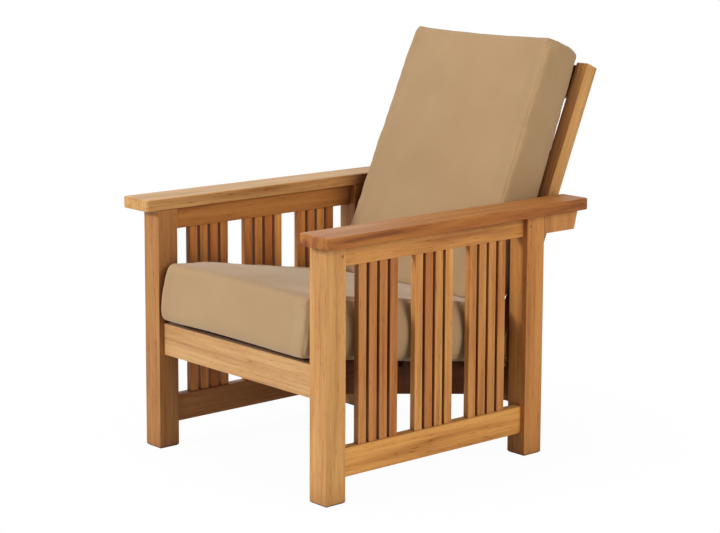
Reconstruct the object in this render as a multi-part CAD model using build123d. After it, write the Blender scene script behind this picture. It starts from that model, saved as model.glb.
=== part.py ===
from build123d import *
from math import asin, atan, cos, degrees, radians, sin, tan
import os

# Reclining armchair in the mission style: square posts, flat arms, slatted
# sides, a back that tips on two bolts, and two box cushions.
# Millimetres. +Z is up, the chair faces -Y, and +X is the sitter's left.
# Depths are first measured back from the face of the front posts. Every piece
# is then moved so that the origin is under the middle of the whole chair.

# Posts
post = 57.0                    # side of the square posts
side_frame_width = 672.0       # outside of one side frame to the outside of the other
side_frame_depth = 683.0       # face of the front posts to the back of the rear posts
arm_underside = 585.0          # height of the post tops
foot_chamfer = 4.0
edge_ease = 1.5                # softened long edges of all timber
overrun = 2.0                  # how far cuts run past a face

# Arms
arm_thickness = 28.0
arm_overhang_front = 32.0      # in front of the front posts
arm_overhang_outer_front = 42.0
arm_overhang_outer_rear = 28.0   # the arms narrow towards the back
arm_beyond_block = 6.0         # the arm's rear end behind the bracket block
arm_corner = 8.0
arm_ease = 3.0

# Bracket blocks under the arm tails
block_height = 49.0
block_behind_stile = 7.6       # at the block's top, behind the reclined stile
block_undercut = 13.0          # its end slopes: the bottom is shorter than the top
block_cove = 8.0

# Side frames
rail_thickness = 25.0
rail_setback = 14.0            # from the outer face of the posts
top_rail_height = 52.0
bottom_rail_height = 66.0
bottom_rail_underside = 55.0
slat_width = 23.5
slat_thickness = 16.0
slat_gap = 8.1
slats_per_group = 4
slat_groups = 3
slat_tongue = 10.0             # length housed in a rail at each end

# Joinery
tenon_length = 22.0
tenon_shoulder = 6.0
stub_tenon = 10.0
fit = 0.15                     # clearance round tenons, tongues and dowels
dowel_diameter = 8.0
dowel_length = 34.0

# Seat frame
front_rail_height = 77.0
front_rail_underside = 233.0
front_rail_setback = 14.0
rear_rail_height = 102.0
rear_rail_below_pivot = 4.0
rear_rail_setback = 14.0       # from the front of the rear posts
seat_rail_drop = 12.4          # top of a seat rail below the front rail's top
seat_rail_below_pivot = 30.05  # top of a seat rail at its rear end
seat_rail_depth = 64.0
seat_rail_gap = 2.0            # washer space between a side rail and a stile
deck_slat_thickness = 18.0
deck_slat_gap = 14.0
deck_slat_count = 8
deck_start = 6.0               # first slat behind the front rail
deck_before_pivot = 34.0       # last slat in front of the pivot axis
deck_side_gap = 40.0           # slat ends to the posts' inner faces

# Back frame
pivot_before_rear_post = 8.0   # pivot axis in front of the rear posts
pivot_height = 226.0
back_tilt = 23.2               # degrees from upright, fully reclined
stile_width = 35.0
stile_depth = 36.0
stile_length = 752.0           # pivot axis to the top end
stile_side_gap = 10.0          # stiles to the posts' inner faces
stile_top_ease = 3.0
back_rail_thickness = 22.0
back_rail_recess = 6.0         # behind the stiles' front faces
head_rail_height = 82.0
head_rail_below_top = 6.0
back_rail_height = 70.0
back_rail_below_peg = 34.5     # top of the middle rail under the pegs' axis
lower_rail_above_pivot = 41.0

# Pivot bolts
bolt_diameter = 10.0
bolt_head_diameter = 18.0
bolt_head_height = 4.5
bolt_head_ease = 2.2
bolt_washer_diameter = 23.0
bolt_washer_thickness = 1.5
nut_diameter = 18.0
nut_height = 9.0
nut_ease = 2.2
nut_cover = 2.4                # closed end of the cap nut
spacer_diameter = 26.0
pivot_ear = 20.0               # radius of the raised ear round the pivot
running_fit = 0.1              # radial clearance of turning and sliding pins
side_play = 0.2                # free play beside washers and turning pieces

# Stop rail and locking pegs
stop_rail_height = 36.0
stop_gap = 0.3                 # between the reclined stiles and the stop rail
back_positions = 3
peg_diameter = 10.0
peg_engagement = 16.0          # how far a peg enters a groove
peg_play = 0.5                 # each side of a peg in a groove
peg_knob_diameter = 22.0
peg_knob_length = 12.0
peg_knob_ease = 3.0
peg_level_share = 0.75         # of the tilt: the stiles' angle with the pegs at the blocks' mid height

# Seat cushion
cushion_gap = 0.3              # soft pieces stay this far from their seats
seat_cushion_thickness = 146.0
seat_cushion_front = 54.0      # in front of the front rail's back face
seat_cushion_before_pivot = 22.5   # its rear end in front of the pivot axis
seat_cushion_crown = 12.0
seat_cushion_bulge = 24.0      # of each side, between the posts
seat_cushion_side_gap = 5.0    # from the side slats at the fullest place
seat_cushion_draw = 3.0        # the upper seams are closer together than the lower ones
seat_cushion_round = 13.0      # of its front and back ends

# Back cushion
back_cushion_inset = 34.0      # its seams on the stiles, from the stiles' outer faces
back_cushion_thickness = 122.0
back_cushion_above_stiles = 24.0
back_cushion_crown = 28.0
back_cushion_bulge = 20.0
back_cushion_draw = -5.0      # the face is wider than the side on the stiles
back_cushion_top_round = 10.0
back_cushion_foot_round = 16.0
foot_contact_share = 0.75      # of the foot's round: where it meets the seat cushion

# Places along the cushions, front to back or bottom to top, as shares of the
# length, with the half width, thickness, crown and side bulge as shares there.
seat_cushion_shares = (
    (0.00, 0.975, 0.930, 0.45, 0.36),
    (0.05, 0.977, 0.955, 0.60, 0.40),
    (0.13, 0.978, 0.990, 0.85, 0.42),
    (0.20, 1.000, 1.000, 0.95, 1.00),
    (0.35, 1.000, 1.000, 1.00, 1.00),
    (0.50, 1.000, 1.000, 0.98, 1.00),
    (0.66, 1.000, 1.000, 0.85, 1.00),
    (0.82, 1.000, 1.000, 0.58, 0.98),
    (1.00, 0.975, 0.985, 0.20, 0.70),
)
back_cushion_shares = (
    (0.00, 0.990, 1.000, 0.80, 0.70),
    (0.14, 1.020, 1.000, 0.95, 1.00),
    (0.30, 1.020, 1.000, 1.00, 1.00),
    (0.50, 1.015, 1.000, 1.00, 1.00),
    (0.70, 1.000, 1.000, 0.85, 1.00),
    (0.88, 0.985, 1.000, 0.55, 1.00),
    (1.00, 0.965, 1.000, 0.30, 0.95),
)
round_steps = 4                # stations in each rounded end

# Places that follow from the sizes
half_width = side_frame_width / 2
inner_face = half_width - post             # inner faces of the posts, and of the arms
rear_post_front = side_frame_depth - post
rail_outer = half_width - rail_setback
rail_inner = rail_outer - rail_thickness
rail_middle = (rail_outer + rail_inner) / 2
top_rail_underside = arm_underside - top_rail_height
bottom_rail_top = bottom_rail_underside + bottom_rail_height
front_rail_top = front_rail_underside + front_rail_height
front_rail_back = front_rail_setback + rail_thickness
rear_rail_front = rear_post_front + rear_rail_setback
stile_outer = inner_face - stile_side_gap
stile_inner = stile_outer - stile_width
seat_rail_outer = stile_inner - seat_rail_gap
seat_rail_inner = seat_rail_outer - rail_thickness
pivot_y = rear_post_front - pivot_before_rear_post
tilt = radians(back_tilt)
seat_rail_top_front = front_rail_top - seat_rail_drop
seat_rail_top_rear = pivot_height - seat_rail_below_pivot
slope = atan((seat_rail_top_front - seat_rail_top_rear) / (rear_rail_front - front_rail_back))
deck_top_front = seat_rail_top_front + deck_slat_thickness / cos(slope)
seat_rail_plumb = seat_rail_depth / cos(slope)
pivot_along_deck = (pivot_y - front_rail_back) * cos(slope) - (pivot_height - deck_top_front) * sin(slope)
pivot_above_deck = (pivot_y - front_rail_back) * sin(slope) + (pivot_height - deck_top_front) * cos(slope)
rear_rail_top = pivot_height - rear_rail_below_pivot
rear_rail_underside = rear_rail_top - rear_rail_height
block_bottom = arm_underside - block_height
block_middle = arm_underside - block_height / 2


def stile_back_y(height):
    """Depth of the reclined stiles' back faces at a height."""
    return pivot_y + (height - pivot_height) * tan(tilt) + stile_depth / 2 / cos(tilt)


block_end_top = stile_back_y(arm_underside) + block_behind_stile
block_end_bottom = block_end_top - block_undercut

# The stile's upper back corner is the rearmost point, the arms' ends the foremost.
rearmost = pivot_y + stile_length * sin(tilt) + stile_depth / 2 * cos(tilt)
middle_y = (rearmost - arm_overhang_front) / 2
to_origin = Pos(0, -middle_y, 0)

# Carriers: the deck's top plane and the reclined back. In both, y runs
# backwards, and z stands up from the deck or runs up along the stiles.
on_deck = Pos(0, front_rail_back, deck_top_front) * Rot(-degrees(slope), 0, 0)
on_back = Pos(0, pivot_y, pivot_height) * Rot(-back_tilt, 0, 0)

os.makedirs("parts", exist_ok=True)


def keep(name, *solids):
    """Move a piece to the chair's origin and write it under its name."""
    moved = [to_origin * solid for solid in solids]
    export_step(moved[0] if len(moved) == 1 else Compound(children=moved), "parts/" + name + ".step")


def keep_pair(name, solid_left):
    """Write a piece of the sitter's left side and its mirror image."""
    keep(name + "_left", solid_left)
    keep(name + "_right", mirror(solid_left, about=Plane.YZ))


def bar(x, y, z):
    """Square timber between three pairs of limits."""
    middle = Pos((x[0] + x[1]) / 2, (y[0] + y[1]) / 2, (z[0] + z[1]) / 2)
    return middle * Box(x[1] - x[0], y[1] - y[0], z[1] - z[0])


def grown(limits, margin):
    """A pair of limits moved apart by a margin at both ends."""
    return (limits[0] - margin, limits[1] + margin)


def shrunk(limits, margin):
    return (limits[0] + margin, limits[1] - margin)


def eased(timber, axis, radius=edge_ease):
    """Round the long edges of a square timber."""
    return fillet(timber.edges().filter_by(axis), radius)


def side_board(outline, x):
    """Board cut to an outline in the side view, between two x limits."""
    face = Plane.YZ * make_face(Polyline(*outline, close=True))
    return Pos(x[0], 0, 0) * extrude(face, x[1] - x[0])


def pin_x(diameter, x, y, z):
    """Round pin along x."""
    pin = Cylinder(diameter / 2, x[1] - x[0])
    return Pos((x[0] + x[1]) / 2, y, z) * Rot(0, 90, 0) * pin


# Posts. The side rails enter them from inside the side frame, and the front
# and rear rails from between the frames.
post_x = (inner_face, half_width)
tenon_x = shrunk((rail_inner, rail_outer), tenon_shoulder)
top_tenon_z = shrunk((top_rail_underside, arm_underside), tenon_shoulder)
bottom_tenon_z = shrunk((bottom_rail_underside, bottom_rail_top), tenon_shoulder)
front_tenon_y = shrunk((front_rail_setback, front_rail_back), tenon_shoulder)
front_tenon_z = shrunk((front_rail_underside, front_rail_top), tenon_shoulder)
rear_tenon_y = shrunk((rear_rail_front, rear_rail_front + rail_thickness), tenon_shoulder)
rear_tenon_z = shrunk((rear_rail_underside, rear_rail_top), tenon_shoulder)
cross_tenon_x = (inner_face, inner_face + tenon_length)
dowel_x = (half_width - dowel_length, half_width)
dowel_z = (top_rail_underside + arm_underside) / 2


def make_post(y, side_tenon_y, cross_y, cross_z, dowel_y):
    timber = bar(post_x, y, (0, arm_underside))
    timber = chamfer(timber.faces().sort_by(Axis.Z)[0].edges(), foot_chamfer)
    timber = eased(timber, Axis.Z)
    for height in (top_tenon_z, bottom_tenon_z):
        timber -= bar(grown(tenon_x, fit), grown(side_tenon_y, fit), grown(height, fit))
    timber -= bar(grown(cross_tenon_x, fit), grown(cross_y, fit), grown(cross_z, fit))
    return timber - pin_x(dowel_diameter + fit, dowel_x, dowel_y, dowel_z)


front_side_tenon = (post - tenon_length, post)
rear_side_tenon = (rear_post_front, rear_post_front + tenon_length)
dowel_front_y = post - tenon_length / 2
dowel_rear_y = rear_post_front + tenon_length / 2
keep_pair("post_front", make_post((0, post), front_side_tenon, front_tenon_y, front_tenon_z, dowel_front_y))
keep_pair("post_rear", make_post((rear_post_front, side_frame_depth), rear_side_tenon,
                                 rear_tenon_y, rear_tenon_z, dowel_rear_y))

# Dowels lock the top side rails' tenons and show on the posts' outer faces.
keep_pair("dowel_front", pin_x(dowel_diameter, dowel_x, dowel_front_y, dowel_z))
keep_pair("dowel_rear", pin_x(dowel_diameter, dowel_x, dowel_rear_y, dowel_z))

# Arms: flat boards whose inner edges line up with the posts' inner faces.
arm_y = (-arm_overhang_front, block_end_top + arm_beyond_block)
arm_outline = Polyline(
    (inner_face, arm_y[0]),
    (half_width + arm_overhang_outer_front, arm_y[0]),
    (half_width + arm_overhang_outer_rear, arm_y[1]),
    (inner_face, arm_y[1]),
    close=True,
)
arm = Pos(0, 0, arm_underside) * extrude(make_face(arm_outline), arm_thickness)
arm = fillet(arm.edges().filter_by(Axis.Z), arm_corner)
arm = fillet(arm.faces().sort_by(Axis.Z)[-1].edges() + arm.faces().sort_by(Axis.Z)[0].edges(), arm_ease)
keep_pair("arm", arm)

# Side rails with tenons into the posts and a row of housings for the slats.
group_width = slats_per_group * slat_width + (slats_per_group - 1) * slat_gap
rail_span = rear_post_front - post
group_gap = (rail_span - slat_groups * group_width) / (slat_groups + 1)


def slat_starts(group):
    first = post + group_gap + group * (group_width + group_gap)
    return [first + i * (slat_width + slat_gap) for i in range(slats_per_group)]


slat_x = (rail_middle - slat_thickness / 2, rail_middle + slat_thickness / 2)


def make_side_rail(z, tenon_z, housing_z):
    timber = eased(bar((rail_inner, rail_outer), (post, rear_post_front), z), Axis.Y)
    for tenon_y in (front_side_tenon, rear_side_tenon):
        timber += bar(tenon_x, tenon_y, tenon_z)
    for group in range(slat_groups):
        for start in slat_starts(group):
            hole_y = grown((start, start + slat_width), fit)
            timber -= bar(grown(slat_x, fit), hole_y, housing_z)
    return timber


top_rail = make_side_rail((top_rail_underside, arm_underside), top_tenon_z,
                          (top_rail_underside, top_rail_underside + slat_tongue + fit))
for y in (dowel_front_y, dowel_rear_y):
    top_rail -= pin_x(dowel_diameter + fit, dowel_x, y, dowel_z)
keep_pair("side_top_rail", top_rail)
keep_pair("side_bottom_rail", make_side_rail(
    (bottom_rail_underside, bottom_rail_top), bottom_tenon_z,
    (bottom_rail_top - slat_tongue - fit, bottom_rail_top)))

# Side slats, in three groups of four on each side.
slat_z = (bottom_rail_top - slat_tongue, top_rail_underside + slat_tongue)
for group, place in enumerate(("front", "middle", "rear")[:slat_groups]):
    slats = [eased(bar(slat_x, (start, start + slat_width), slat_z), Axis.Z) for start in slat_starts(group)]
    keep("side_slats_left_" + place, *slats)
    keep("side_slats_right_" + place, *[mirror(slat, about=Plane.YZ) for slat in slats])

# Front and rear rails between the side frames. Both have housings for the
# stub tenons of the sloping seat rails.
seat_tenon_x = shrunk((seat_rail_inner, seat_rail_outer), tenon_shoulder)


def seat_tenon_z(top):
    return shrunk((top - seat_rail_plumb, top), tenon_shoulder)


def make_cross_rail(y, z, tenon_y, tenon_z, stub_y, stub_top):
    timber = eased(bar((-inner_face, inner_face), y, z), Axis.X)
    for side in (1, -1):
        tenon = bar(cross_tenon_x, tenon_y, tenon_z)
        housing = bar(grown(seat_tenon_x, fit), grown(stub_y, fit), grown(seat_tenon_z(stub_top), fit))
        timber += tenon if side > 0 else mirror(tenon, about=Plane.YZ)
        timber -= housing if side > 0 else mirror(housing, about=Plane.YZ)
    return timber


front_stub_y = (front_rail_back - stub_tenon, front_rail_back)
rear_stub_y = (rear_rail_front, rear_rail_front + stub_tenon)
keep("front_rail", make_cross_rail((front_rail_setback, front_rail_back),
                                   (front_rail_underside, front_rail_top),
                                   front_tenon_y, front_tenon_z, front_stub_y, seat_rail_top_front))
keep("rear_rail", make_cross_rail((rear_rail_front, rear_rail_front + rail_thickness),
                                  (rear_rail_underside, rear_rail_top),
                                  rear_tenon_y, rear_tenon_z, rear_stub_y, seat_rail_top_rear))

# Sloping seat rails. Each has a raised round ear at its back that carries the
# pivot bolt of the back frame.
seat_rail_x = (seat_rail_inner, seat_rail_outer)
seat_rail = side_board(
    (
        (front_rail_back, seat_rail_top_front),
        (rear_rail_front, seat_rail_top_rear),
        (rear_rail_front, seat_rail_top_rear - seat_rail_plumb),
        (front_rail_back, seat_rail_top_front - seat_rail_plumb),
    ),
    seat_rail_x,
)
ear_y = (pivot_y - pivot_ear, pivot_y + pivot_ear)
seat_rail += bar(seat_rail_x, ear_y, (seat_rail_top_rear - pivot_ear, pivot_height))
seat_rail += pin_x(2 * pivot_ear, seat_rail_x, pivot_y, pivot_height)
seat_rail += bar(seat_tenon_x, front_stub_y, seat_tenon_z(seat_rail_top_front))
seat_rail += bar(seat_tenon_x, rear_stub_y, seat_tenon_z(seat_rail_top_rear))
seat_rail -= pin_x(bolt_diameter + 2 * running_fit, grown(seat_rail_x, overrun), pivot_y, pivot_height)
keep_pair("seat_rail", seat_rail)

# Deck slats laid across the seat rails.
deck_half = inner_face - deck_side_gap
deck_length = pivot_along_deck - deck_before_pivot - deck_start
deck_pitch = (deck_length + deck_slat_gap) / deck_slat_count
deck_slat_width = deck_pitch - deck_slat_gap
for i in range(deck_slat_count):
    start = deck_start + i * deck_pitch
    slat = bar((-deck_half, deck_half), (start, start + deck_slat_width), (-deck_slat_thickness, 0))
    keep("deck_slat_" + str(i + 1), on_deck * eased(slat, Axis.X))

# Bracket blocks under the arm tails. A cove leads each block's underside into
# the rear post. Upright grooves in the inner faces take the locking pegs, one
# for each position of the back. The foremost groove starts at the post.
peg_rise = (block_middle - pivot_height) / cos(radians(peg_level_share * back_tilt))
groove_half = peg_diameter / 2 + peg_play
raised_tilt = degrees(asin((side_frame_depth + groove_half - pivot_y) / peg_rise))
back_step = (back_tilt - raised_tilt) / (back_positions - 1)
cove = side_frame_depth + block_cove
block = side_board(
    (
        (side_frame_depth, arm_underside),
        (block_end_top, arm_underside),
        (block_end_bottom, block_bottom),
        (cove, block_bottom),
        (cove, block_bottom - block_cove),
        (side_frame_depth, block_bottom - block_cove),
    ),
    post_x,
)
block -= pin_x(2 * block_cove, grown(post_x, overrun), cove, block_bottom - block_cove)
groove_x = (inner_face, inner_face + peg_engagement + peg_play)
for i in range(back_positions):
    groove_y = pivot_y + peg_rise * sin(radians(back_tilt - i * back_step))
    groove_front = groove_y - groove_half - (overrun if i == back_positions - 1 else 0)
    block -= bar(groove_x, (groove_front, groove_y + groove_half), (0, arm_underside))
keep_pair("arm_block", block)

# Stop rail between the blocks, flush with their sloping ends. The reclined
# stiles lean on it, and its front face has their slope.
def block_end_y(height):
    return block_end_bottom + block_undercut * (height - block_bottom) / block_height


stop_bottom = block_middle - stop_rail_height / 2
stop_top = block_middle + stop_rail_height / 2
keep("stop_rail", side_board(
    (
        (stile_back_y(stop_bottom) + stop_gap, stop_bottom),
        (stile_back_y(stop_top) + stop_gap, stop_top),
        (block_end_y(stop_top), stop_top),
        (block_end_y(stop_bottom), stop_bottom),
    ),
    (-inner_face, inner_face),
))

# Locking pegs, drawn back into the stiles. Pushed outwards, each enters the
# groove that stands beside its stile.
peg_travel = stile_side_gap + peg_engagement
peg_y = pivot_y + peg_rise * sin(tilt)
peg_z = pivot_height + peg_rise * cos(tilt)
knob_x = (stile_inner - peg_travel - peg_knob_length, stile_inner - peg_travel)
knob = pin_x(peg_knob_diameter, knob_x, peg_y, peg_z)
knob = fillet(knob.edges().sort_by(Axis.X)[0], peg_knob_ease)
shank_x = (knob_x[1] - peg_knob_length / 2, stile_outer)
keep_pair("locking_peg", knob + pin_x(peg_diameter, shank_x, peg_y, peg_z))

# Back frame: two stiles with rounded lower ends, and rails between them.
stile_half_depth = stile_depth / 2
stile = bar((stile_inner, stile_outer), (-stile_half_depth, stile_half_depth), (0, stile_length))
stile = fillet(stile.faces().sort_by(Axis.Z)[-1].edges(), stile_top_ease)
stile += pin_x(stile_depth, (stile_inner, stile_outer), 0, 0)
for diameter, height in ((bolt_diameter, 0), (peg_diameter, peg_rise)):
    stile -= pin_x(diameter + 2 * running_fit, grown((stile_inner, stile_outer), overrun), 0, height)
back_rail_front = back_rail_recess - stile_half_depth
back_rail_y = (back_rail_front, back_rail_front + back_rail_thickness)
back_tenon_y = shrunk(back_rail_y, tenon_shoulder)
head_top = stile_length - head_rail_below_top
head_bottom = head_top - head_rail_height
middle_top = peg_rise - back_rail_below_peg
upper_bottom = (head_bottom + middle_top - back_rail_height) / 2
rail_limits = {
    "back_head_rail": (head_bottom, head_top),
    "back_upper_rail": (upper_bottom, upper_bottom + back_rail_height),
    "back_middle_rail": (middle_top - back_rail_height, middle_top),
    "back_lower_rail": (lower_rail_above_pivot, lower_rail_above_pivot + back_rail_height),
}
back_half = stile_inner + tenon_length
for name, z in rail_limits.items():
    timber = eased(bar((-stile_inner, stile_inner), back_rail_y, z), Axis.X)
    timber += bar((-back_half, back_half), back_tenon_y, shrunk(z, tenon_shoulder))
    keep(name, on_back * timber)
    stile -= bar((stile_inner, back_half + fit), grown(back_tenon_y, fit),
                 grown(shrunk(z, tenon_shoulder), fit))
keep_pair("back_stile", on_back * stile)

# Pivot bolts: domed head and washer outside the stile, spacer between stile
# and seat rail, cap nut inside.
head_start = stile_outer + side_play
washer_end = head_start + bolt_washer_thickness
bolt = pin_x(bolt_washer_diameter, (head_start, washer_end), pivot_y, pivot_height)
dome = pin_x(bolt_head_diameter, (washer_end, washer_end + bolt_head_height), pivot_y, pivot_height)
bolt += fillet(dome.edges().sort_by(Axis.X)[-1], bolt_head_ease)
nut_start = seat_rail_inner - nut_height
bolt_end = nut_start + nut_cover
bolt += pin_x(bolt_diameter, (bolt_end, washer_end), pivot_y, pivot_height)
keep_pair("pivot_bolt", bolt)
nut = pin_x(nut_diameter, (nut_start, seat_rail_inner), pivot_y, pivot_height)
nut = fillet(nut.edges().sort_by(Axis.X)[0], nut_ease)
nut -= pin_x(bolt_diameter, (bolt_end, seat_rail_inner + overrun), pivot_y, pivot_height)
keep_pair("pivot_nut", nut)
spacer_x = (seat_rail_outer, stile_inner - side_play)
spacer = pin_x(spacer_diameter, spacer_x, pivot_y, pivot_height)
spacer -= pin_x(bolt_diameter + 2 * running_fit, grown(spacer_x, overrun), pivot_y, pivot_height)
keep_pair("pivot_spacer", spacer)


def cushion_section(half, draw, low, high, crown, bulge):
    """Cross section: flat underside, bulging sides and a crowned face."""
    upper = half - draw
    middle = ((half + upper) / 2 + bulge, (low + high) / 2)
    return make_face([
        Line((-half, low), (half, low)),
        ThreePointArc((half, low), middle, (upper, high)),
        ThreePointArc((upper, high), (0, high + crown), (-upper, high)),
        ThreePointArc((-upper, high), (-middle[0], middle[1]), (-half, low)),
    ])


def shares_at(table, place):
    """Row of a table of shares at a place between two of its rows."""
    for row, after in zip(table, table[1:]):
        if place <= after[0]:
            part = (place - row[0]) / (after[0] - row[0])
            return [a + part * (b - a) for a, b in zip(row[1:], after[1:])]
    return table[-1][1:]


def rounded_end(start, direction, radius):
    """Places near a cushion's end, each with how far its seams are drawn in."""
    turns = [radians(i * 90 / round_steps) for i in range(round_steps + 1)]
    return [(start + direction * radius * (1 - cos(turn)), radius * (1 - sin(turn))) for turn in turns]


def make_cushion(ends, table, station, half, draw, low, high, crown, bulge):
    """Loft through cross sections: two rounded ends and the rows between them."""
    start, finish = ends[0][0][0], ends[1][0][0]
    inner = [start + row[0] * (finish - start) for row in table]
    inner = [place for place in inner if ends[0][-1][0] < place < ends[1][-1][0]]
    places = ends[0] + [(place, 0) for place in inner] + ends[1][::-1]
    sections = []
    for place, drawn in places:
        width, height, crowning, bulging = shares_at(table, (place - start) / (finish - start))
        top = low + (high - low) * height
        section = cushion_section(half * width - drawn, draw, low + drawn, top - drawn,
                                  crown * crowning, bulge * bulging)
        sections.append(station(place) * section)
    return loft(Sketch() + sections, ruled=True)


# Seat cushion: a thick box cushion on the deck with rounded ends. It swells
# between the posts and is drawn in where it passes the front ones.
def seat_station(place):
    return Plane(origin=(0, place, 0), x_dir=(1, 0, 0), z_dir=(0, -1, 0))


seat_half = rail_middle - slat_thickness / 2 - seat_cushion_side_gap - seat_cushion_bulge
seat_cushion_length = seat_cushion_front + pivot_along_deck - seat_cushion_before_pivot
seat_ends = (
    rounded_end(-seat_cushion_front, 1, seat_cushion_round),
    rounded_end(seat_cushion_length - seat_cushion_front, -1, seat_cushion_round),
)
seat_cushion = make_cushion(seat_ends, seat_cushion_shares, seat_station, seat_half, seat_cushion_draw,
                            cushion_gap, seat_cushion_thickness, seat_cushion_crown, seat_cushion_bulge)
keep("seat_cushion", on_deck * seat_cushion)


# Back cushion: its back face lies on the stiles, and it is cut flat where it
# stands on the seat cushion's crown.
def back_station(place):
    return Plane(origin=(0, 0, place), x_dir=(-1, 0, 0), z_dir=(0, 0, 1))


lean = tilt - slope
foot_reach = stile_half_depth + back_cushion_thickness + back_cushion_crown
contact_reach = foot_reach - foot_contact_share * back_cushion_foot_round
contact_rise = (seat_cushion_thickness - pivot_above_deck - contact_reach * sin(lean)) / cos(lean)
contact = pivot_along_deck + contact_rise * sin(lean) - contact_reach * cos(lean)
contact_share = (contact + seat_cushion_front) / seat_cushion_length
_, seat_height, seat_crowning, _ = shares_at(seat_cushion_shares, contact_share)
rest_height = seat_cushion_thickness * seat_height + seat_cushion_crown * seat_crowning + cushion_gap
foot_front = (rest_height - pivot_above_deck - foot_reach * sin(lean)) / cos(lean)
foot_end = rounded_end(foot_front, 1, back_cushion_foot_round)
back_ends = (
    [(foot_front - back_cushion_foot_round, back_cushion_foot_round)] + foot_end,
    rounded_end(stile_length + back_cushion_above_stiles, -1, back_cushion_top_round),
)
back_cushion = make_cushion(back_ends, back_cushion_shares, back_station, stile_outer - back_cushion_inset,
                            back_cushion_draw, stile_half_depth + cushion_gap,
                            stile_half_depth + back_cushion_thickness, back_cushion_crown, back_cushion_bulge)
below = on_deck * bar((-half_width, half_width), (-side_frame_depth, 2 * side_frame_depth),
                      (rest_height - side_frame_depth, rest_height))
keep("back_cushion", on_back * back_cushion - below)
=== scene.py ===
from math import cos, exp, pi, radians, sin

import bmesh
import bpy
import numpy as np
from mathutils import Matrix, Vector, noise
from mathutils.bvhtree import BVHTree
from mathutils.kdtree import KDTree


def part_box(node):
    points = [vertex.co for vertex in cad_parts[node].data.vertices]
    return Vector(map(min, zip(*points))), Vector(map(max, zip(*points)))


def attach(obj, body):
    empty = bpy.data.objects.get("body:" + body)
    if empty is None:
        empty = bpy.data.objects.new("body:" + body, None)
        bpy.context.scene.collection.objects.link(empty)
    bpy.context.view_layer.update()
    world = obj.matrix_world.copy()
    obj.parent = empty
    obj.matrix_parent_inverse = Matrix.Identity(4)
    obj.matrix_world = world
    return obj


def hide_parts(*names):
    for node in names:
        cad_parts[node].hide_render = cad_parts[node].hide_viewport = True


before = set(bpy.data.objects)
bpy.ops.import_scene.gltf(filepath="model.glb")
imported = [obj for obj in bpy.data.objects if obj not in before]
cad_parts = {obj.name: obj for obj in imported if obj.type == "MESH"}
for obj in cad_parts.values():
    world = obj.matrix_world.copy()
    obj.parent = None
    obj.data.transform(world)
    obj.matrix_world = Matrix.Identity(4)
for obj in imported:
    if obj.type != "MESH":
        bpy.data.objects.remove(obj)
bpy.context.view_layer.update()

# Camera. It stands in front of the chair, to the sitter's left and well above
# the arms. Its place was measured from the front faces of the front posts.
POSTS_FACE_TO_ORIGIN = 0.4493944
CAMERA_PLACE = (3.71384, -2.91094 - POSTS_FACE_TO_ORIGIN, 1.41802)
YAW, PITCH, ROLL = radians(49.29), radians(-8.644), radians(0.102)
camera_data = bpy.data.cameras.new("camera")
camera_data.sensor_width = 36.0
camera_data.lens = 104.837
camera_data.shift_x = 0.04851
camera_data.shift_y = -0.12497
camera_data.clip_end = 60.0
camera = bpy.data.objects.new("camera", camera_data)
forward = Vector((-sin(YAW) * cos(PITCH), cos(YAW) * cos(PITCH), sin(PITCH)))
look = forward.to_track_quat("-Z", "Y").to_matrix().to_4x4() @ Matrix.Rotation(ROLL, 4, "Z")
camera.matrix_world = Matrix.Translation(CAMERA_PLACE) @ look
bpy.context.collection.objects.link(camera)
bpy.context.scene.camera = camera

# Studio walls. A plain white room, which the camera and shiny things see as pure
# white, while the chair gets only a weak warm light from it.
WHITE = "#FFFFFF"
WALL_COLOUR = "#F6F3EE"
WALL_LIGHT = 0.30


def linear(hex_colour):
    """An sRGB hex colour as the linear values that shaders take."""
    values = [int(hex_colour[i:i + 2], 16) / 255 for i in (1, 3, 5)]
    return [v / 12.92 if v <= 0.04045 else ((v + 0.055) / 1.055) ** 2.4 for v in values] + [1.0]


def add(tree, kind, links=(), **settings):
    """A node with its settings, and its inputs joined to sockets or set to values."""
    made = tree.nodes.new(kind)
    for name, value in settings.items():
        setattr(made, name, value)
    for socket, value in dict(links).items():
        target = made.inputs[socket]
        if isinstance(value, bpy.types.NodeSocket):
            tree.links.new(value, target)
        else:
            target.default_value = value
    return made


scene = bpy.context.scene
scene.view_settings.view_transform = "Standard"
studio = bpy.data.worlds.new("studio")
scene.world = studio
studio.use_nodes = True
tree = studio.node_tree
tree.nodes.clear()
path = add(tree, "ShaderNodeLightPath")
seen = path.outputs["Is Camera Ray"]
for kind in ("Is Glossy Ray", "Is Transmission Ray"):
    seen = add(tree, "ShaderNodeMath", {0: seen, 1: path.outputs[kind]}, operation="MAXIMUM").outputs[0]
lit = add(tree, "ShaderNodeBackground", {"Color": linear(WALL_COLOUR), "Strength": WALL_LIGHT})
shown = add(tree, "ShaderNodeBackground", {"Color": linear(WHITE), "Strength": 1.0})
walls = add(tree, "ShaderNodeMixShader", {0: seen, 1: lit.outputs[0], 2: shown.outputs[0]})
add(tree, "ShaderNodeOutputWorld", {"Surface": walls.outputs[0]})

# Floor. Boards under matt white paint, which give the eye an even dull white.
# The camera sees plain white, with a trace of the chair's shadow near its feet.
FLOOR_REACH = 9.0
FLOOR_COLOUR = "#E9E9E7"
TRACE_ENDS = (0.40, 0.95)      # from the chair's middle to where the trace is full, and where it is gone
NEAR_WHITENESS = 0.97


def new_material(name):
    """An empty node material and its tree, with a Principled BSDF on its output."""
    made = bpy.data.materials.new(name)
    made.use_nodes = True
    tree = made.node_tree
    tree.nodes.clear()
    shader = add(tree, "ShaderNodeBsdfPrincipled")
    add(tree, "ShaderNodeOutputMaterial", {"Surface": shader.outputs[0]})
    return made, tree, shader


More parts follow.
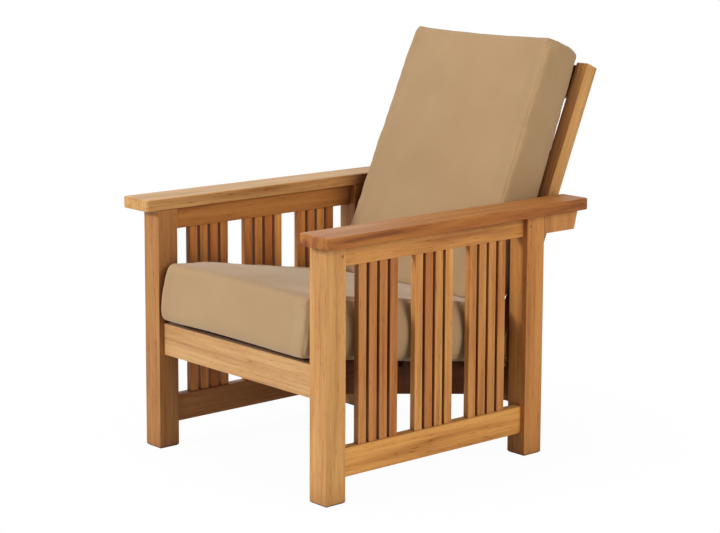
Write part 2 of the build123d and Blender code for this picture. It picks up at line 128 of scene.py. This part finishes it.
floor_mesh = bpy.data.meshes.new("floor")
floor_corners = [(x * FLOOR_REACH, y * FLOOR_REACH, 0) for x, y in ((-1, -1), (1, -1), (1, 1), (-1, 1))]
floor_mesh.from_pydata(floor_corners, [], [(0, 1, 2, 3)])
floor = bpy.data.objects.new("floor", floor_mesh)
bpy.context.collection.objects.link(floor)
painted_floor, tree, shader = new_material("matt_white_studio_floor")
shader.inputs["Base Color"].default_value = linear(FLOOR_COLOUR)
shader.inputs["Roughness"].default_value = 0.9
path = add(tree, "ShaderNodeLightPath")
glow = add(tree, "ShaderNodeEmission", {"Color": linear(WHITE), "Strength": 1.0})
place = add(tree, "ShaderNodeTexCoord")
away = add(tree, "ShaderNodeVectorMath", {0: place.outputs["Object"]}, operation="LENGTH")
whiteness = add(tree, "ShaderNodeMapRange", {"Value": away.outputs["Value"], "From Min": TRACE_ENDS[0],
                                             "From Max": TRACE_ENDS[1], "To Min": NEAR_WHITENESS,
                                             "To Max": 1.0})
part = add(tree, "ShaderNodeMath", {0: path.outputs["Is Camera Ray"], 1: whiteness.outputs[0]},
           operation="MULTIPLY")
shown = add(tree, "ShaderNodeMixShader", {0: part.outputs[0], 1: shader.outputs[0], 2: glow.outputs[0]})
tree.links.new(shown.outputs[0], tree.nodes["Material Output"].inputs["Surface"])
floor_mesh.materials.append(painted_floor)

# Lamps. The main one stands in front of the chair, a little to the sitter's right,
# so that faces to the front are the brightest and the cushion shades the stile
# beside it. One lights the chair's near side, and one from above the arms' tops.
CHAIR_MIDDLE = (0, 0, 0.5)


def softbox(name, place, size, power, colour):
    """A square lamp that faces the chair."""
    data = bpy.data.lights.new(name, "AREA")
    data.size = size
    data.energy = power
    data.color = linear(colour)[:3]
    lamp = bpy.data.objects.new(name, data)
    lamp.location = place
    lamp.rotation_euler = (Vector(CHAIR_MIDDLE) - Vector(place)).to_track_quat("-Z", "Y").to_euler()
    bpy.context.collection.objects.link(lamp)


softbox("key_light", place=(-1.1, -4.3, 2.5), size=1.0, power=152, colour=WHITE)
softbox("side_light", place=(4.2, 0.2, 1.9), size=1.8, power=86, colour="#FFF9F0")
softbox("top_light", place=(-0.2, -0.4, 4.2), size=2.0, power=50, colour="#FFF6EA")

# Side frames. Each is two square posts, a top and a bottom rail tenoned into them,
# thin slats in three groups of four, and a flat arm on top, whose tail lies on a
# bracket block. All are solid teak, and dowels through the posts lock the top rails.

# Oiled teak is sawn from the solid, planed, sanded and rubbed with oil. That gives
# honey to reddish brown, long soft streaks along the grain, fine dark pores and a
# low satin sheen. Growth rings are 11 mm apart, as a flat-sawn face cuts them.
RING_SPACING = 0.011
RINGS_WANDER = 0.045           # how far the rings stray on their way along the board
WANDER_LENGTH = 1 / 14         # 71 mm
PITH = (0.11, 0.07, 0.0)       # from the board to the middle of its tree
BAND_WIDTH = 1 / 38            # 26 mm, for broad bands of colour
FIBRE_SPACING = 1 / 520        # 1.9 mm, drawn coarser than real fibres so that they show
PORE_LENGTH = 0.0035
PORE_EDGE = (0.60, 0.72)       # the noise's values where a pore starts and is full
BAND_SQUASH = 0.06             # one over how much longer than wide each mark is
FIBRE_SQUASH = 0.02
PORE_SQUASH = 0.12
BAND_WEIGHT, RING_WEIGHT, FIBRE_WEIGHT, PORE_WEIGHT = 1.15, 0.045, 0.30, 0.20
CAST_GAMMA = 2.2               # casts are written as they look, not as linear values
PALE_WOOD, WOOD, DARK_WOOD = (0.18, "#DDAF72"), (0.50, "#C8935A"), (0.90, "#8A5324")
SLAT_GRAIN_STEP = 1.7          # between two slats of a node, through the grain
PALE_SLAT = (1.22, 1.29, 1.32)
DARK_SLAT = (0.80, 0.62, 0.52)
# Painted shade in the nooks between parts: its tint, how far it looks for other parts, and its edges.
PAINTED_SHADE_TINT = "#8E7390"
PAINTED_SHADE_REACH = 0.11
PAINTED_SHADE_EDGE = (0.12, 0.66)    # the open share of the view where the painted shade is full, and where it is gone
# Painted reflection of the bright room on upward faces: its colour, edges and share.
TOP_REFLECTION_WOOD = "#CBAA88"
TOP_REFLECTION_EDGE = (0.80, 0.97)       # how far a face looks up where the painted reflection starts, and where it is full
TOP_REFLECTION_SHARE = 0.42
SHEEN = (0.40, 0.62)           # roughness of pale wood and of dark lines
RELIEF = 0.0006


def grain_figure(tree, vector, figure):
    """One number over the board, round a half, from pale wood to dark lines."""
    # Growth rings go round a pith that lies beside the board, and wander along it.
    long = add(tree, "ShaderNodeMapping", {"Vector": vector, "Scale": (1, 1, BAND_SQUASH)})
    wander = add(tree, "ShaderNodeTexNoise", {"Vector": long.outputs[0], "Scale": 1 / WANDER_LENGTH,
                                              "Detail": 3.0, "Roughness": 0.6})
    bent = add(tree, "ShaderNodeVectorMath", {0: wander.outputs["Color"], "Scale": RINGS_WANDER},
               operation="SCALE")
    bent = add(tree, "ShaderNodeVectorMath", {0: long.outputs[0], 1: bent.outputs[0]}, operation="ADD")
    pith = add(tree, "ShaderNodeVectorMath", {0: bent.outputs[0], 1: PITH}, operation="ADD")
    flat = add(tree, "ShaderNodeVectorMath", {0: pith.outputs[0], 1: (1, 1, 0)}, operation="MULTIPLY")
    radius = add(tree, "ShaderNodeVectorMath", {0: flat.outputs[0]}, operation="LENGTH")
    turns = add(tree, "ShaderNodeMath", {0: radius.outputs["Value"], 1: 2 * pi / RING_SPACING},
                operation="MULTIPLY")
    ring = add(tree, "ShaderNodeMath", {0: turns.outputs[0]}, operation="SINE")

    # Broad soft bands, fine fibres, and pores as short dark dashes.
    bands = add(tree, "ShaderNodeTexNoise", {"Vector": long.outputs[0], "Scale": 1 / BAND_WIDTH,
                                             "Detail": 5.0, "Roughness": 0.62})
    fibres = add(tree, "ShaderNodeMapping", {"Vector": vector, "Scale": (1, 1, FIBRE_SQUASH)})
    fibre = add(tree, "ShaderNodeTexNoise", {"Vector": fibres.outputs[0], "Scale": 1 / FIBRE_SPACING,
                                             "Detail": 2.0})
    dashes = add(tree, "ShaderNodeMapping", {"Vector": vector, "Scale": (1, 1, PORE_SQUASH)})
    pore = add(tree, "ShaderNodeTexNoise", {"Vector": dashes.outputs[0], "Scale": 1 / PORE_LENGTH,
                                            "Detail": 2.0})
    pores = add(tree, "ShaderNodeMapRange", {"Value": pore.outputs[0], "From Min": PORE_EDGE[0],
                                             "From Max": PORE_EDGE[1]})
    total = 0.5
    for source, middle, weight in ((bands, 0.5, BAND_WEIGHT * figure), (ring, 0.0, RING_WEIGHT * figure),
                                   (fibre, 0.5, FIBRE_WEIGHT), (pores, 0.0, PORE_WEIGHT)):
        share = add(tree, "ShaderNodeMath", {0: source.outputs[0], 1: middle}, operation="SUBTRACT")
        total = add(tree, "ShaderNodeMath", {0: share.outputs[0], 1: weight, 2: total},
                    operation="MULTIPLY_ADD").outputs[0]
    return total


def teak(name, grain, shift, cast, figure, slats=None):
    """Teak with its grain along a direction. The cast tints the board, and the figure is its contrast."""
    made, tree, shader = new_material("oiled_teak_" + name)
    place = add(tree, "ShaderNodeTexCoord").outputs["Object"]
    turn = Vector(grain).rotation_difference(Vector((0, 0, 1))).to_euler()
    vector = add(tree, "ShaderNodeMapping", {"Vector": place, "Rotation": turn, "Location": shift}).outputs[0]
    tint = [value ** CAST_GAMMA for value in cast]
    dye = tint + [1.0]
    if slats:
        # Slats that share a node each get a stretch of grain and a tone of their own:
        # one is paler and yellower, the next darker and redder.
        start, pitch = slats
        split = add(tree, "ShaderNodeSeparateXYZ", {0: place})
        along = add(tree, "ShaderNodeMath", {0: split.outputs["Y"], 1: start}, operation="SUBTRACT")
        along = add(tree, "ShaderNodeMath", {0: along.outputs[0], 1: pitch}, operation="DIVIDE")
        slat = add(tree, "ShaderNodeMath", {0: along.outputs[0]}, operation="FLOOR")
        seed = add(tree, "ShaderNodeMath", {0: slat.outputs[0], 1: shift[2]}, operation="ADD")
        random = add(tree, "ShaderNodeTexWhiteNoise", {"W": seed.outputs[0]}, noise_dimensions="1D")
        apart = add(tree, "ShaderNodeVectorMath", {0: random.outputs["Color"], "Scale": SLAT_GRAIN_STEP},
                    operation="SCALE")
        vector = add(tree, "ShaderNodeVectorMath", {0: vector, 1: apart.outputs[0]},
                     operation="ADD").outputs[0]
        pale, dark = [[v * c for v, c in zip(tint, change)] + [1.0] for change in (PALE_SLAT, DARK_SLAT)]
        dye = add(tree, "ShaderNodeMix", {0: random.outputs["Value"], 6: pale, 7: dark},
                  data_type="RGBA").outputs[2]

    total = grain_figure(tree, vector, figure)
    colour = add(tree, "ShaderNodeValToRGB", {0: total})
    stops = colour.color_ramp.elements
    stops[0].position, stops[0].color = PALE_WOOD[0], linear(PALE_WOOD[1])
    stops[1].position, stops[1].color = DARK_WOOD[0], linear(DARK_WOOD[1])
    stops.new(WOOD[0]).color = linear(WOOD[1])
    dyed = add(tree, "ShaderNodeMix", {0: 1.0, 6: colour.outputs[0], 7: dye}, data_type="RGBA",
               blend_type="MULTIPLY")

    # Painted shade: faces hemmed in by other parts, between slats and under rails, are
    # darkened towards a dusky tint.
    view = add(tree, "ShaderNodeAmbientOcclusion", {"Distance": PAINTED_SHADE_REACH}, samples=8)
    shade_share = add(tree, "ShaderNodeMapRange", {"Value": view.outputs["AO"], "From Min": PAINTED_SHADE_EDGE[0],
                                                 "From Max": PAINTED_SHADE_EDGE[1], "To Min": 1.0, "To Max": 0.0})
    dark = add(tree, "ShaderNodeMix", {0: shade_share.outputs[0], 6: dyed.outputs[2],
                                       7: linear(PAINTED_SHADE_TINT)}, data_type="RGBA", blend_type="MULTIPLY")

    # Painted reflection: upper faces are painted paler and greyer than the sides, as
    # the bright room above would show in them.
    facing = add(tree, "ShaderNodeNewGeometry")
    split = add(tree, "ShaderNodeSeparateXYZ", {0: facing.outputs["Normal"]})
    upward = add(tree, "ShaderNodeMapRange", {"Value": split.outputs["Z"], "From Min": TOP_REFLECTION_EDGE[0],
                                              "From Max": TOP_REFLECTION_EDGE[1], "To Max": TOP_REFLECTION_SHARE})
    reflected_wood = [v * t for v, t in zip(linear(TOP_REFLECTION_WOOD), tint)] + [1.0]
    top_reflection = add(tree, "ShaderNodeMix", {0: upward.outputs[0], 6: dark.outputs[2], 7: reflected_wood},
               data_type="RGBA")
    tree.links.new(top_reflection.outputs[2], shader.inputs["Base Color"])
    gloss = add(tree, "ShaderNodeMapRange", {"Value": total, "To Min": SHEEN[0], "To Max": SHEEN[1]})
    tree.links.new(gloss.outputs[0], shader.inputs["Roughness"])
    shader.inputs["Specular IOR Level"].default_value = 0.35
    relief = add(tree, "ShaderNodeBump", {"Height": total, "Strength": 0.12, "Distance": RELIEF})
    tree.links.new(relief.outputs[0], shader.inputs["Normal"])
    return made


def dress(node, made):
    """Give a CAD node a material, in all of its slots."""
    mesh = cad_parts[node].data
    if not mesh.materials:
        mesh.materials.append(made)
    for i in range(len(mesh.materials)):
        mesh.materials[i] = made


BOARD_GRAIN_STEP = (0.31, 0.17, 0.53)      # from one board to the next, through the grain
timbers = sorted(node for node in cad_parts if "cushion" not in node and "pivot" not in node)


def lay(start, grain, cast, figure, slats=False):
    """Dress the boards whose names start alike, each with a stretch of grain of its own."""
    for i, node in enumerate(timbers):
        if node.startswith(start):
            shift = [step * i for step in BOARD_GRAIN_STEP]
            layout = (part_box(node)[0].y - SLAT_EASE, SLAT_PITCH) if slats else None
            dress(node, teak(node, grain, shift, cast, figure, layout))


UP, BACKWARDS, ACROSS = (0, 0, 1), (0, 1, 0), (1, 0, 0)
SLAT_PITCH = 0.0316
SLAT_EASE = 0.004              # a seam between two tones falls in the gap, not on a slat
lay("post_front_left", UP, (0.96, 0.95, 0.90), 0.8)
lay("post_front_right", UP, (0.83, 0.77, 0.70), 0.9)
lay("post_rear_left", UP, (0.93, 0.85, 0.72), 0.7)
lay("post_rear_right", UP, (0.93, 0.88, 0.82), 1.0)
lay("arm_left", BACKWARDS, (0.76, 0.62, 0.41), 1.8)
lay("arm_right", BACKWARDS, (0.95, 0.97, 0.96), 1.1)
lay("arm_block", UP, (0.92, 0.85, 0.76), 0.9)
lay("side_top_rail_left", BACKWARDS, (0.98, 0.93, 0.80), 0.9)
lay("side_top_rail_right", BACKWARDS, (0.86, 0.77, 0.62), 1.0)
lay("side_bottom_rail_left", BACKWARDS, (1.03, 0.99, 0.83), 1.0)
lay("side_bottom_rail_right", BACKWARDS, (0.84, 0.76, 0.70), 1.0)
lay("side_slats_left", UP, (0.93, 0.87, 0.76), 1.0, slats=True)
lay("side_slats_right", UP, (1.02, 0.94, 0.82), 1.0, slats=True)
lay("dowel", ACROSS, (0.76, 0.66, 0.55), 1.0)

# Seat frame. A front and a rear rail of teak are tenoned into the posts, and two
# sloping rails, stubbed into them, carry the deck slats. The hidden boards get
# darker casts, as painted shade for the shadow that they lie in.
lay("front_rail", ACROSS, (0.95, 0.98, 1.03), 0.8)
# Painted shade: the hidden boards' casts are darkened for the shadow under the cushion.
lay("rear_rail", ACROSS, (0.72, 0.63, 0.58), 1.0)
lay("seat_rail", BACKWARDS, (0.66, 0.57, 0.52), 1.0)
lay("deck_slat", ACROSS, (0.66, 0.57, 0.52), 1.0)

# Back frame and its stop. Two stiles and four cross rails of teak, tenoned, lean on
# a rail between the arm blocks. Turned teak pegs slide in the stiles to lock them.
ALONG_STILES = (0, 0.394, 0.919)
lay("back_stile", ALONG_STILES, (0.93, 0.92, 0.87), 1.0)
for rail in ("back_head_rail", "back_upper_rail", "back_middle_rail", "back_lower_rail"):
    lay(rail, ACROSS, (0.84, 0.75, 0.66), 1.0)
lay("stop_rail", ACROSS, (0.88, 0.80, 0.70), 1.0)
lay("locking_peg", ACROSS, (0.86, 0.78, 0.68), 1.0)

# Pivot bolts, cap nuts and spacers. Turned brass under clear lacquer, one set a
# side, through the stiles' feet. It gives a yellow metal with a soft sheen.
BRASS_COLOUR = "#B08D4C"
brass, tree, shader = new_material("lacquered_brass")
shader.inputs["Base Color"].default_value = linear(BRASS_COLOUR)
shader.inputs["Metallic"].default_value = 1.0
shader.inputs["Roughness"].default_value = 0.32
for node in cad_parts:
    if node.startswith("pivot"):
        dress(node, brass)

# Seat cushion. A block of foam in a sewn cover, laid loose on the deck. One wide
# strip of cloth goes round its front, top, rear and underside, and a gusset closes
# each side, so the only seams run round the gussets.

# Woven canvas of spun tan yarn gives a dull even cloth, with a faint mottle and soft
# crinkles beside each seam. A fine darker line along each seam is painted shade for its
# furrow. Threads are 0.7 mm apart.
THREAD = 0.0007
MOTTLE_SIZE = 1 / 9            # 110 mm
SLUB_LENGTH = 1 / 700          # 1.4 mm
SLUB_SHARE = 0.35
CANVAS_STOPS = ((0.45, "#A48763"), (0.92, "#AA8D6A"))
SEAM_SHADE_COLOUR = "#7C6247"
SEAM_SHADE_REACH = (0.0006, 0.0026)    # from the seam to where its painted shade fades, and where it is gone
SEAM_SHADE_SHARE = 0.38
GATHER_SIZE = 1 / 20           # 50 mm
GATHER_REACH = (0.004, 0.045)
canvas, tree, shader = new_material("woven_tan_canvas")
place = add(tree, "ShaderNodeTexCoord")
split = add(tree, "ShaderNodeSeparateXYZ", {0: place.outputs["Object"]})
waves = {}
for axis in "XYZ":
    phase = add(tree, "ShaderNodeMath", {0: split.outputs[axis], 1: pi / THREAD}, operation="MULTIPLY")
    waves[axis] = add(tree, "ShaderNodeMath", {0: phase.outputs[0]}, operation="SINE").outputs[0]
facing = add(tree, "ShaderNodeSeparateXYZ", {0: place.outputs["Normal"]})
# The weave crosses the two directions that lie in each face, whichever way it looks.
weave = 0.0
for axis, (warp, weft) in (("X", "YZ"), ("Y", "XZ"), ("Z", "XY")):
    crossing = add(tree, "ShaderNodeMath", {0: waves[warp], 1: waves[weft]}, operation="MULTIPLY")
    share = add(tree, "ShaderNodeMath", {0: facing.outputs[axis], 1: facing.outputs[axis]},
                operation="MULTIPLY")
    weave = add(tree, "ShaderNodeMath", {0: crossing.outputs[0], 1: share.outputs[0], 2: weave},
                operation="MULTIPLY_ADD").outputs[0]
mottle = add(tree, "ShaderNodeTexNoise", {"Vector": place.outputs["Object"], "Scale": 1 / MOTTLE_SIZE,
                                          "Detail": 4.0, "Roughness": 0.5})
slubs = add(tree, "ShaderNodeTexNoise", {"Vector": place.outputs["Object"], "Scale": 1 / SLUB_LENGTH,
                                         "Detail": 1.0})
mixed = add(tree, "ShaderNodeMath", {0: slubs.outputs[0], 1: SLUB_SHARE, 2: mottle.outputs[0]},
            operation="MULTIPLY_ADD")
shade = add(tree, "ShaderNodeValToRGB", {0: mixed.outputs[0]})
for stop, (position, colour) in zip(shade.color_ramp.elements, CANVAS_STOPS):
    stop.position, stop.color = position, linear(colour)
# Painted shade: a darker line along the furrow of each seam.
to_seam = add(tree, "ShaderNodeAttribute", attribute_name="seam_distance")
seam_shade = add(tree, "ShaderNodeMapRange", {"Value": to_seam.outputs["Fac"], "From Min": SEAM_SHADE_REACH[0],
                                           "From Max": SEAM_SHADE_REACH[1], "To Min": SEAM_SHADE_SHARE,
                                           "To Max": 0.0})
seam_shaded = add(tree, "ShaderNodeMix", {0: seam_shade.outputs[0], 6: shade.outputs[0], 7: linear(SEAM_SHADE_COLOUR)},
               data_type="RGBA")
tree.links.new(seam_shaded.outputs[2], shader.inputs["Base Color"])
shader.inputs["Roughness"].default_value = 0.9
shader.inputs["Sheen Weight"].default_value = 0.25
shader.inputs["Sheen Roughness"].default_value = 0.5
shader.inputs["Specular IOR Level"].default_value = 0.2
threads = add(tree, "ShaderNodeBump", {"Height": weave, "Strength": 0.35, "Distance": 0.0002})
creases = add(tree, "ShaderNodeBump", {"Height": mottle.outputs[0], "Strength": 0.12, "Distance": 0.004,
                                       "Normal": threads.outputs[0]})
# The cloth crinkles where it is gathered round the foam's corners.
gathers = add(tree, "ShaderNodeTexNoise", {"Vector": place.outputs["Object"], "Scale": 1 / GATHER_SIZE,
                                           "Detail": 1.0, "Roughness": 0.35})
by_seam = add(tree, "ShaderNodeMapRange", {"Value": to_seam.outputs["Fac"], "From Min": GATHER_REACH[0],
                                           "From Max": GATHER_REACH[1], "To Min": 1.0, "To Max": 0.0},
              interpolation_type="SMOOTHSTEP")
crinkle = add(tree, "ShaderNodeMath", {0: gathers.outputs[0], 1: by_seam.outputs[0]}, operation="MULTIPLY")
crinkles = add(tree, "ShaderNodeBump", {"Height": crinkle.outputs[0], "Strength": 0.8, "Distance": 0.012,
                                        "Normal": creases.outputs[0]})
tree.links.new(crinkles.outputs[0], shader.inputs["Normal"])

WELD = 0.00005                 # joins the CAD faces' meshes along their shared edges
VOXEL = 0.006                  # fine enough for the foam's broad shape
SOFTEN_PASSES = 12
SEAM_POINTS = 1200             # round one gusset
SEAM_TANGENT = 5               # points each way, for the seam's direction
GUSSET_SLICE = 0.85            # of the half width: a cut inside the gusset's bulge
GUSSET_MARGIN = 0.012          # from the seam to where the gusset's flank is measured
CORNER_START = 0.1             # outside the cushion, where the search for a corner starts
SEAM_HOLD = 0.9
SEAM_HOLD_REACH = 0.007
COVER_SHRINK = 0.003           # the cover starts smaller than the foam, because it swells
COVER_FRAMES = 20
COVER_CLOTH = {"quality": 4, "mass": 0.25, "tension_stiffness": 12, "compression_stiffness": 12,
               "shear_stiffness": 5, "bending_stiffness": 0.4, "pin_stiffness": 1.0,
               "use_pressure": True, "uniform_pressure_force": 4}
COVER_INSET = 0.0006
FILL_PASSES = 24
CORNER_REACH = 0.026           # how far the foam rounds the cover off, beside a seam
CORNER_SHARE = 0.7
CORNER_PASSES = 30
REARWARD = 0.1                 # a face that looks more to the rear than this lies close to the frame
SEAM_REACH = 0.0024            # half the width of the furrow along a seam
SEAM_DEPTH = 0.0012
LIP_HEIGHT = 0.0003            # the fold's lips, each side of the furrow
LIP_PLACE = 0.0065
LIP_REACH = 0.003
PUCKER_REACH = 0.030
PUCKERS = ((0.0016, (10, 24, 24), 1), (0.0009, (24, 52, 52), -1))      # depth, marks a metre, shift
HOLLOW_DEPTH = 0.0020
HOLLOW_DEPTH_REAR = 0.0004
HOLLOWS_PER_METRE = 7.0
DIP_REACH = 0.05


def settle(piece):
    """Replace a piece's mesh by what its modifiers make of it."""
    shown = piece.evaluated_get(bpy.context.evaluated_depsgraph_get())
    made = bpy.data.meshes.new_from_object(shown)
    piece.modifiers.clear()
    piece.data = made
    return piece


def set_places(mesh, places):
    """Move all of a mesh's vertices."""
    mesh.vertices.foreach_set("co", [value for place in places for value in place])
    mesh.update()


def tree_of(mesh):
    """A search tree over a mesh's faces."""
    return BVHTree.FromPolygons([v.co for v in mesh.vertices], [p.vertices for p in mesh.polygons])


def foam_block(node):
    """The CAD cushion as one closed mesh of even quads, with its creases softened."""
    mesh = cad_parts[node].data.copy()
    mesh.materials.clear()
    piece = bpy.data.objects.new("sewn_" + node, mesh)
    bpy.context.collection.objects.link(piece)
    work = bmesh.new()
    work.from_mesh(mesh)
    bmesh.ops.remove_doubles(work, verts=work.verts, dist=WELD)
    work.to_mesh(mesh)
    work.free()
    remesh = piece.modifiers.new("remesh", "REMESH")
    remesh.mode = "VOXEL"
    remesh.voxel_size = VOXEL
    soften = piece.modifiers.new("soften", "SMOOTH")
    soften.factor = 0.5
    soften.iterations = SOFTEN_PASSES
    return settle(piece)


def seam_loop(tree, low, high, side):
    """Points round a gusset, where the cushion's side turns into the strip."""
    middle = (low + high) / 2
    slice_x = side * high.x * GUSSET_SLICE
    outline = []
    for i in range(SEAM_POINTS):
        turn = 2 * pi * i / SEAM_POINTS
        away = Vector((0, cos(turn), sin(turn)))
        outline.append(tree.ray_cast(Vector((slice_x, middle.y, middle.z)) + away, -away)[0])
    loop = []
    for i, point in enumerate(outline):
        tangent = (outline[(i + SEAM_TANGENT) % SEAM_POINTS] - outline[i - SEAM_TANGENT]).normalized()
        outward = Vector((0, tangent.z, -tangent.y))
        if outward.dot(point - middle) < 0:
            outward.negate()
        inner = point - outward * GUSSET_MARGIN
        flank = tree.ray_cast(Vector((side, inner.y, inner.z)), Vector((-side, 0, 0)))[0]
        corner = Vector((flank.x, point.y, point.z))
        slant = (Vector((side, 0, 0)) + outward).normalized()
        loop.append(tree.ray_cast(corner + slant * CORNER_START, -slant)[0] or corner)
    return loop


def distances(mesh, points):
    """How far each vertex is from the nearest of the points."""
    found = KDTree(len(points))
    for i, point in enumerate(points):
        found.insert(point, i)
    found.balance()
    return [found.find(v.co)[2] for v in mesh.vertices]


def inflate(piece, held, cap):
    """Blow the cover up as cloth, held along its seams, and cap how far a point may move."""
    start = [v.co.copy() for v in piece.data.vertices]
    group = piece.vertex_groups.new(name="held")
    for i, weight in enumerate(held):
        group.add([i], weight, "REPLACE")
    cloth = piece.modifiers.new("cover", "CLOTH")
    for name, value in COVER_CLOTH.items():
        setattr(cloth.settings, name, value)
    cloth.settings.vertex_group_mass = group.name
    cloth.settings.effector_weights.gravity = 0
    cloth.collision_settings.use_collision = False
    cloth.point_cache.frame_start = 1
    cloth.point_cache.frame_end = COVER_FRAMES
    for number in range(1, COVER_FRAMES + 1):
        bpy.context.scene.frame_set(number)
    settle(piece)
    bpy.context.scene.frame_set(1)
    ended = [v.co.copy() for v in piece.data.vertices]
    for i, before in enumerate(start):
        moved = ended[i] - before
        if moved.length > cap:
            ended[i] = before + moved * (cap / moved.length)
    set_places(piece.data, ended)


def edge_ends(mesh):
    """The numbers of the vertices at the two ends of every edge."""
    ends = np.zeros(2 * len(mesh.edges), dtype=np.int64)
    mesh.edges.foreach_get("vertices", ends)
    return ends[0::2], ends[1::2]


def around(ends, values):
    """For each vertex, the sum of a value over the vertices next to it."""
    one, other = ends
    return np.bincount(one, values[other], len(values)) + np.bincount(other, values[one], len(values))


def fill_out(mesh, solid):
    """Bring the cover's broad shape to just inside its solid, and keep its folds."""
    gaps = np.zeros(len(mesh.vertices))
    for i, vertex in enumerate(mesh.vertices):
        surface, facing, _, _ = solid.find_nearest(vertex.co)
        gaps[i] = (surface - vertex.co).dot(facing)
    ends = edge_ends(mesh)
    count = around(ends, np.ones(len(gaps))) + 1
    for _ in range(FILL_PASSES):
        gaps = (gaps + around(ends, gaps)) / count
    set_places(mesh, [v.co + v.normal * (gap - COVER_INSET) for v, gap in zip(mesh.vertices, gaps)])


def round_off(mesh, apart, elsewhere):
    """Round the cover's corners along its seams, and elsewhere by a share, but not at the rear."""
    ends = edge_ends(mesh)
    places = np.zeros(3 * len(mesh.vertices))
    mesh.vertices.foreach_get("co", places)
    places = places.reshape(-1, 3)
    count = around(ends, np.ones(len(places)))
    rearward = np.array([vertex.normal.y for vertex in mesh.vertices])
    share = np.maximum(np.exp(-(np.array(apart) / CORNER_REACH) ** 2), elsewhere)
    share *= np.where(rearward > REARWARD, 0.0, CORNER_SHARE)
    for _ in range(CORNER_PASSES):
        for axis in range(3):
            along = places[:, axis]
            places[:, axis] = along + share * (around(ends, along) / count - along)
    set_places(mesh, places)


def sew(node, cap, shift, rounding, dip=0.0):
    """Sewn cushion in the place of a CAD one. The shift moves its wrinkles."""
    piece = foam_block(node)
    low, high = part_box(node)
    solid = tree_of(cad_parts[node].data)
    tree = tree_of(piece.data)
    near = distances(piece.data, seam_loop(tree, low, high, 1) + seam_loop(tree, low, high, -1))
    piece.data.attributes.new("seam_distance", "FLOAT", "POINT").data.foreach_set("value", near)
    set_places(piece.data, [v.co - v.normal * COVER_SHRINK for v in piece.data.vertices])
    inflate(piece, [SEAM_HOLD * exp(-(apart / SEAM_HOLD_REACH) ** 2) for apart in near], cap)
    piece.modifiers.new("finer", "SUBSURF").levels = 1
    settle(piece)

    # Furrows along the seams, puckers that run out from them, and soft hollows.
    mesh = piece.data
    near = [0.0] * len(mesh.vertices)
    mesh.attributes["seam_distance"].data.foreach_get("value", near)
    fill_out(mesh, solid)
    round_off(mesh, near, rounding)
    places = [v.co.copy() for v in mesh.vertices]
    normals = [v.normal.copy() for v in mesh.vertices]
    for i, (place, normal, apart) in enumerate(zip(places, normals, near)):
        furrow = SEAM_DEPTH * exp(-(apart / SEAM_REACH) ** 2)
        lip = LIP_HEIGHT * exp(-((apart - LIP_PLACE) / LIP_REACH) ** 2)
        pucker = sum(depth * noise.noise(Vector([p * m for p, m in zip(place, marks)]) + shift * way)
                     for depth, marks, way in PUCKERS)
        pucker *= exp(-(apart / PUCKER_REACH) ** 2)
        hollow = HOLLOW_DEPTH_REAR if normal.y > REARWARD else HOLLOW_DEPTH
        hollow *= noise.noise(place * HOLLOWS_PER_METRE + shift)
        moved = place + normal * (lip + pucker + hollow - furrow)
        # The strip's middle sags a little between the gussets along the top.
        across = 1 - (place.x / high.x) ** 2
        moved.z -= dip * max(0.0, across) * exp(-((high.z - place.z) / DIP_REACH) ** 2)
        # The cover stays in the room that its solid has.
        surface, facing, _, _ = solid.find_nearest(moved)
        places[i] = surface if (moved - surface).dot(facing) > 0 else moved
    mesh.polygons.foreach_set("use_smooth", [True] * len(mesh.polygons))
    set_places(mesh, places)
    mesh.materials.append(canvas)
    return piece


seat = sew("seat_cushion", cap=0.024, shift=Vector((3.1, 0.4, 7.7)), rounding=0.6)
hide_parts("seat_cushion")
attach(seat, "frame")

# Back cushion. Foam in the same kind of cover, laid loose against the back frame.
# It stands on the seat cushion, and its weight presses its foot on to that crown.
SEAT_SLOPE = radians(9.6)
DECK_UP = Vector((0, sin(SEAT_SLOPE), cos(SEAT_SLOPE)))
FOOT_HEIGHT = 0.060            # how much of the cushion gives
FOOT_GAP = 0.012               # the most that it comes down
FOOT_CLEARANCE = 0.0006
FOOT_SEARCH = 0.02             # above a point, where the look down starts


def press_on(piece, below):
    """Bring a cushion's foot down on to what it stands on."""
    places = [v.co.copy() for v in piece.data.vertices]
    for i, place in enumerate(places):
        hit = below.ray_cast(place + DECK_UP * FOOT_SEARCH, -DECK_UP)[0]
        above = (place - hit).dot(DECK_UP) if hit else FOOT_HEIGHT
        if above < FOOT_HEIGHT:
            drop = max(0.0, min(above, FOOT_GAP) - FOOT_CLEARANCE)
            places[i] = place - DECK_UP * drop * (1 - max(0.0, above - FOOT_GAP) / FOOT_HEIGHT)
    set_places(piece.data, places)


rest = sew("back_cushion", cap=0.026, shift=Vector((11.3, 5.2, 1.9)), rounding=0.0, dip=0.007)
press_on(rest, tree_of(seat.data))
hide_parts("back_cushion")
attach(rest, "back_cushion")
